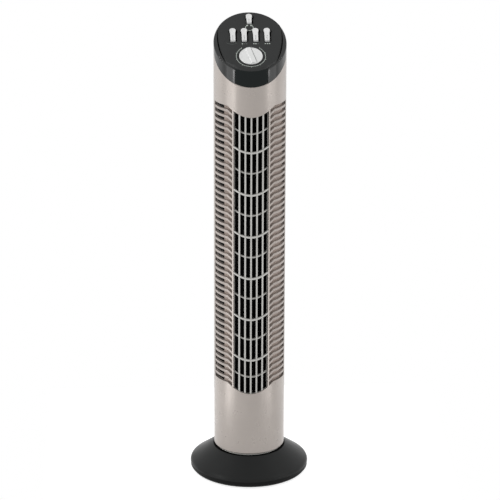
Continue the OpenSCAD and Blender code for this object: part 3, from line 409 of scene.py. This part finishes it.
def plate(outline, z0=0.0, z1=INK_AND_SHADE_H):
    """Closed prism over a plan outline: vertices and faces."""
    n = len(outline)
    verts = [(x, y, z0) for x, y in outline] + [(x, y, z1) for x, y in outline]
    faces = [tuple(range(n - 1, -1, -1)), tuple(range(n, 2 * n))]
    faces += [(i, (i + 1) % n, n + (i + 1) % n, n + i) for i in range(n)]
    return verts, faces


def box(x0, x1, y0, y1):
    """Thin rectangle."""
    return plate([(x0, y0), (x1, y0), (x1, y1), (x0, y1)])


def merged(parts):
    """Shapes joined into one, still with their own vertices."""
    verts, faces = [], []
    for part_verts, part_faces in parts:
        base = len(verts)
        verts += part_verts
        faces += [tuple(base + i for i in face) for face in part_faces]
    return verts, faces


def arc_band(cx, cy, r0, r1, ends, count):
    """Flat band along an arc between two angles in degrees from +x."""
    def at(r, i):
        a = math.radians(ends[0] + (ends[1] - ends[0]) * i / count)
        return cx + r * math.cos(a), cy + r * math.sin(a)
    return merged([plate([at(r0, i), at(r1, i), at(r1, i + 1), at(r0, i + 1)])
                   for i in range(count)])


def radial_tick(cx, cy, angle, r0, r1, width):
    """Short line on a ray from (cx, cy)."""
    a = math.radians(angle)
    c, s, w = math.cos(a), math.sin(a), width / 2
    return plate([(cx + r * c - side * w * s, cy + r * s + side * w * c)
                  for r, side in ((r0, -1), (r1, -1), (r1, 1), (r0, 1))])


def arrow_head(cx, cy, r, angle, way):
    """Arrow head on an arc's end; way is 1 for one that points to larger angles."""
    a = math.radians(angle)
    out = (math.cos(a), math.sin(a))
    along = (-way * out[1], way * out[0])
    foot = (cx + r * out[0], cy + r * out[1])
    tip = (foot[0] + ARROW_LENGTH * along[0], foot[1] + ARROW_LENGTH * along[1])
    sides = [(foot[0] + s * ARROW_HALF_W * out[0], foot[1] + s * ARROW_HALF_W * out[1])
             for s in (-way, way)]
    return plate([tip, *sides])


# ---------- marks and painted shade ---

def key_x(index):
    """Middle of a key in the row, counted from 0 at the left."""
    return (index - (ROW_KEYS - 1) / 2) * KEY_PITCH


def level_marks():
    """Three squares under each speed key: as many bright ones as the key's level."""
    bright, faint = [], []
    half = LEVEL_SIDE / 2
    for level in LEVELS:
        for i in range(len(LEVELS)):
            x = key_x(level) + (i - 1) * LEVEL_PITCH
            mark = box(x - half, x + half, LEVEL_Y - half, LEVEL_Y + half)
            (bright if i < level else faint).append(mark)
    return bright, faint


def swing_mark():
    """Open circle with an arrow head at both of its upper ends."""
    start, end = SWING_MARK_ENDS
    circle = arc_band(0, SWING_MARK_Y, SWING_MARK_R - SWING_MARK_HALF_W,
                      SWING_MARK_R + SWING_MARK_HALF_W, SWING_MARK_ENDS, SWING_MARK_STEPS)
    return [circle, arrow_head(0, SWING_MARK_Y, SWING_MARK_R, start, -1),
            arrow_head(0, SWING_MARK_Y, SWING_MARK_R, end - 360, 1)]


def timer_scale():
    """Ring round the knob, open at the top, with ticks outside it."""
    start, end = SCALE_ENDS
    step = (end - start) / (SCALE_TICKS - 1)
    ring = [arc_band(0, KNOB_Y, SCALE_R0, SCALE_R1, SCALE_ENDS, SCALE_STEPS)]
    return ring + [radial_tick(0, KNOB_Y, start + step * i, SCALE_R1, SCALE_TICK_R, SCALE_TICK_W)
                   for i in range(SCALE_TICKS)]


def off_mark():
    """Shallow arc under the off key."""
    return [arc_band(*OFF_CENTRE, OFF_R0, OFF_R1, OFF_ENDS, OFF_STEPS)]


def label_ticks():
    """Row of plain ticks between the keys and the knob."""
    return [box(x - LABEL_HALF_W, x + LABEL_HALF_W, LABEL_Y0, LABEL_Y1) for x in LABEL_XS]


def key_shade_patch(x, y, length):
    """Painted shade round a key: round at its round end, with straight sides along the stem."""
    x += KEY_SHADE_X
    left, right = x - KEY_SHADE_HALF_W, x + KEY_SHADE_HALF_W
    top, end = y - KEY_SHADE_STEM, y + KEY_R - length + KEY_SHADE_SHORT
    arc = [(x + KEY_SHADE_R * math.cos(math.radians(a)), y + KEY_SHADE_R * math.sin(math.radians(a)))
           for a in KEY_SHADE_ANGLES]
    return plate(arc + [(left, top), (left, end), (right, end), (right, top)])


def key_shade_patches():
    """Painted shade round the keys in the row and round the swing key above them."""
    keys = [(key_x(i), KEY_Y, KEY_LENGTH) for i in range(ROW_KEYS)]
    return [key_shade_patch(*key) for key in keys + [(0, SWING_KEY_Y, SWING_KEY_LENGTH)]]


def island_edge_shade():
    """Painted shade on the cap beside both bowed sides of the raised panel."""
    slope = math.tan(math.radians(CAP_TILT))
    parts = []
    for side in (-1, 1):
        rows = []
        for i in range(EDGE_SHADE_STEPS + 1):
            y = EDGE_SHADE_Y0 + (EDGE_SHADE_Y1 - EDGE_SHADE_Y0) * i / EDGE_SHADE_STEPS
            a = math.asin((y - PANEL_WIDE_Y) / PANEL_SIDE_R)
            width = EDGE_SHADE_W * math.sin(math.pi * (i + 0.5) / (EDGE_SHADE_STEPS + 1)) ** 0.5
            x = PANEL_HALF_W - PANEL_SIDE_R + (PANEL_SIDE_R + EDGE_SHADE_OFF) * math.cos(a)
            rows.append((side * x, side * (x + width), y))
        for (a0, a1, ya), (b0, b1, yb) in zip(rows, rows[1:]):
            parts.append(plate([(a0, ya), (a1, ya), (b1, yb), (b0, yb)][::side]))
    verts, faces = merged(parts)
    return [(x, y, CAP_Z + y * slope + z) for x, y, z in verts], faces


def shadow_ring():
    """Dark ring on the stand's flat top, where the turning head casts its shadow."""
    top = STAND_TOP_Z + INK_AND_SHADE_H
    section = ((RING_R0, STAND_TOP_Z), (RING_R1, STAND_TOP_Z), (RING_R1, top), (RING_R0, top))
    n, m = RING_STEPS, len(section)
    turns = [2 * math.pi * i / n for i in range(n)]
    verts = [(r * math.cos(a), r * math.sin(a), z) for r, z in section for a in turns]
    faces = [(n * j + i, n * j + (i + 1) % n, n * ((j + 1) % m) + (i + 1) % n,
              n * ((j + 1) % m) + i) for j in range(m) for i in range(n)]
    return verts, faces


def make_marks_and_shade(mats):
    """Prints the panel's marks and paints shade round the keys, beside the panel and under the
    head.
    """
    bright, faint = level_marks()
    # Painted shade beside the raised panel, then a painted shadow on the stand under the head.
    add_mesh("island_edge_shade", island_edge_shade(), mats["painted_shade"], "head")
    add_mesh("shadow_ring", shadow_ring(), mats["painted_shade"], "stand")
    groups = (("panel_marks", bright + swing_mark() + timer_scale(), "ink"),
              ("panel_marks_faint", faint + off_mark() + label_ticks(), "ink_faint"),
              ("key_shade_patches", key_shade_patches(), "painted_shade"))
    for name, parts, material in groups:
        add_mesh(name, merged(parts), mats[material], "head", panel_matrix())


def make_knob_pointer_shade(mats):
    """Painted shade at the foot of the knob's pointer, along its right side."""
    line = box(BLADE_HALF_W + POINTER_SHADE_X0, BLADE_HALF_W + POINTER_SHADE_X1, -POINTER_SHADE_HALF_LENGTH,
               POINTER_SHADE_HALF_LENGTH)
    place = (panel_matrix() @ Matrix.Translation((0, KNOB_Y * MM, KNOB_DISH_Z * MM))
             @ Matrix.Rotation(math.radians(BLADE_TURN), 4, "Z"))
    add_mesh("knob_pointer_shade", line, mats["line"], "timer", place)


def make_louvre_backings(mats):
    """Thin curved walls in the head, behind the left louvres' front half and the right ones."""
    r0, r1 = BACKING_R - BACKING_T / 2, BACKING_R + BACKING_T / 2
    for name, (start, end) in (("louvre_backing_left", BACKING_LEFT),
                               ("louvre_backing_right", BACKING_RIGHT)):
        angles = [math.radians(start + (end - start) * i / BACKING_STEPS)
                  for i in range(BACKING_STEPS + 1)]
        outline = ([(r1 * math.sin(a), -r1 * math.cos(a)) for a in angles]
                   + [(r0 * math.sin(a), -r0 * math.cos(a)) for a in reversed(angles)])
        if end < start:
            outline.reverse()
        add_mesh(name, plate(outline, BACKING_Z0, BACKING_Z1), mats["backing"], "head",
                 smooth=True)


# ---------- camera and light ----------

def make_camera():
    """Camera at the photograph's viewing angle."""
    data = bpy.data.cameras.new("camera")
    data.sensor_width = CAMERA_SENSOR
    data.lens = CAMERA_LENS
    data.shift_x = CAMERA_SHIFT
    data.shift_y = CAMERA_SHIFT
    data.clip_end = CAMERA_FAR
    camera = bpy.data.objects.new("camera", data)
    azimuth = math.radians(CAMERA_AZIMUTH)
    camera.location = (CAMERA_DISTANCE * math.sin(azimuth), -CAMERA_DISTANCE * math.cos(azimuth),
                       CAMERA_HEIGHT)
    turn = (Matrix.Rotation(azimuth, 4, "Z")
            @ Matrix.Rotation(math.radians(90 - CAMERA_PITCH), 4, "X")
            @ Matrix.Rotation(math.radians(CAMERA_ROLL), 4, "Z"))
    camera.rotation_euler = turn.to_euler()
    bpy.context.scene.collection.objects.link(camera)
    bpy.context.scene.camera = camera


def softbox(name, azimuth, size, radiance, aim_z, elevation=0, distance=LAMP_DISTANCE,
            roll=0.0):
    """Rectangular lamp that faces the fan's axis; azimuth from the front, towards +X."""
    data = bpy.data.lights.new(name, "AREA")
    data.shape = "RECTANGLE"
    data.size, data.size_y = size
    data.energy = radiance * math.pi * size[0] * size[1]
    light = bpy.data.objects.new(name, data)
    a, e = math.radians(azimuth), math.radians(elevation)
    away = Vector((math.sin(a) * math.cos(e), -math.cos(a) * math.cos(e), math.sin(e)))
    light.location = Vector((0, 0, aim_z)) + distance * away
    turn = (-away).to_track_quat("-Z", "Y").to_matrix().to_4x4()
    light.rotation_euler = (turn @ Matrix.Rotation(math.radians(roll), 4, "Z")).to_euler()
    light.visible_camera = False
    bpy.context.scene.collection.objects.link(light)


def make_lights():
    """Broad lamps at both sides, dim ones behind, and small ones for the highlights."""
    softbox("side_left", -66, (0.7, 0.9), SIDE_LEFT, SIDE_Z)
    softbox("side_left_low", -66, (0.7, 1.2), SIDE_LEFT * LOW_GAIN, LOW_Z)
    softbox("side_right", 72, (0.6, 0.9), SIDE_RIGHT, SIDE_Z, roll=SIDE_ROLL)
    softbox("side_right_low", 60, (0.7, 1.2), SIDE_RIGHT * LOW_GAIN, LOW_Z, roll=SIDE_ROLL)
    softbox("rim_left", -115, RIM_SIZE, RIM_LIGHT, RIM_Z)
    softbox("rim_right", 115, RIM_SIZE, RIM_LIGHT, RIM_Z)
    softbox("strip_left", -53, STRIP_SIZE, STRIP_LIGHT, 0.42)
    softbox("strip_right", 58, STRIP_SIZE, STRIP_LIGHT, 0.44)
    softbox("key_left", -80, (0.2, 0.2), KEY_LIGHT, KEY_Z, KEY_ELEVATION, KEY_DISTANCE)
    softbox("key_right", 84, (0.14, 0.14), KEY_LIGHT, KEY_Z, KEY_ELEVATION, KEY_DISTANCE)


def seen_directly(tree):
    """1 for camera, glossy and transmission rays, 0 for the others."""
    path = tree.nodes.new("ShaderNodeLightPath")
    seen = path.outputs["Is Camera Ray"]
    for ray in ("Is Glossy Ray", "Is Transmission Ray"):
        either = tree.nodes.new("ShaderNodeMath")
        either.operation = "MAXIMUM"
        tree.links.new(seen, either.inputs[0])
        tree.links.new(path.outputs[ray], either.inputs[1])
        seen = either.outputs["Value"]
    return seen


def make_world():
    """Soft white room light, seen as a plain white backdrop."""
    world = bpy.data.worlds.new("studio")
    bpy.context.scene.world = world
    world.use_nodes = True
    tree = world.node_tree
    tree.nodes.clear()
    out = tree.nodes.new("ShaderNodeOutputWorld")
    backdrop = tree.nodes.new("ShaderNodeBackground")
    backdrop.inputs["Color"].default_value = (1, 1, 1, 1)
    tree.links.new(remap(tree, seen_directly(tree), ROOM_LIGHT, 1.0, 0.0, 1.0),
                   backdrop.inputs["Strength"])
    tree.links.new(backdrop.outputs["Background"], out.inputs["Surface"])


def make_floor():
    """White floor that shows as backdrop white and keeps the object's soft shadow."""
    h = FLOOR_HALF
    mesh = bpy.data.meshes.new("floor")
    mesh.from_pydata([(-h, -h, 0), (h, -h, 0), (h, h, 0), (-h, h, 0)], [], [(0, 1, 2, 3)])
    mat, tree, shader = new_material("floor_white")
    coords = tree.nodes.new("ShaderNodeTexCoord").outputs["Object"]
    slow = noise(tree, coords, scale=3, detail=2)
    tree.links.new(tint(tree, slow, FLOOR_GREY, spread=0.01), shader.inputs["Base Color"])
    shader.inputs["Roughness"].default_value = 0.9
    shader.inputs["Specular IOR Level"].default_value = 0.1
    shader.inputs["Emission Color"].default_value = (1, 1, 1, 1)
    tree.links.new(remap(tree, seen_directly(tree), 0.0, FLOOR_GLOW, 0.0, 1.0),
                   shader.inputs["Emission Strength"])
    mesh.materials.append(mat)
    obj = bpy.data.objects.new("floor", mesh)
    bpy.context.scene.collection.objects.link(obj)


def main():
    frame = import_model()
    mats = make_materials()
    dress_nodes(frame["nodes"], mats)
    make_marks_and_shade(mats)
    make_louvre_backings(mats)
    make_knob_pointer_shade(mats)
    make_camera()
    make_lights()
    make_world()
    make_floor()
    bpy.context.scene.view_settings.view_transform = "Standard"


main()
